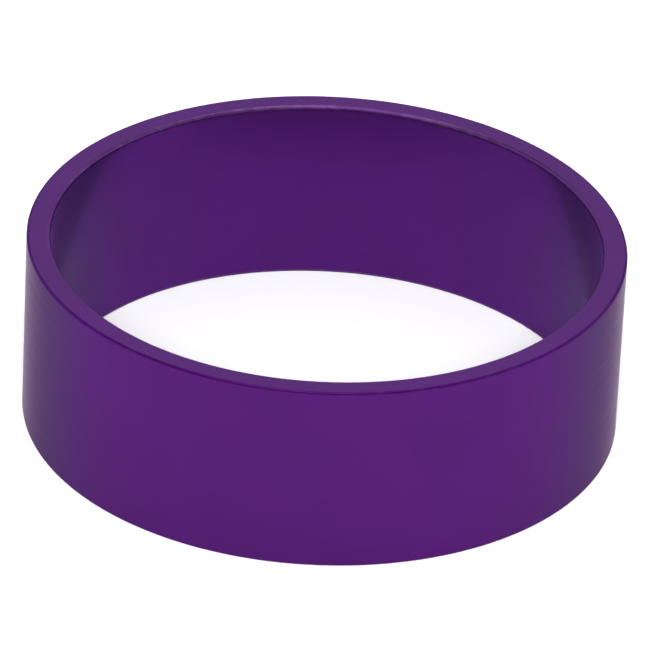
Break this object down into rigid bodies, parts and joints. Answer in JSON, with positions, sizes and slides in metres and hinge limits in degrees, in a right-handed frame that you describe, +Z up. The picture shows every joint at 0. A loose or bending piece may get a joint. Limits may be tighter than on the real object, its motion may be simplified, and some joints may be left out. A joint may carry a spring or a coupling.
{
  "type": "ring",
  "caption": "Plain one-piece ring, a short length of round tube with square ends and lightly rounded edges, to hold, toss, link or pass things through.",
  "frame": {"origin": "centre of the ring's lower end, on the surface that it stands on", "axes": "+Z up along the ring's axis; X and Y lie in the lower end's plane, and the ring is the same all the way round"},
  "size_m": [0.0762, 0.0762, 0.025],
  "materials": {
    "purple_anodised": "satin"
  },
  "bodies": {
    "root": {"ring_band": "purple_anodised"}
  },
  "joints": []
}
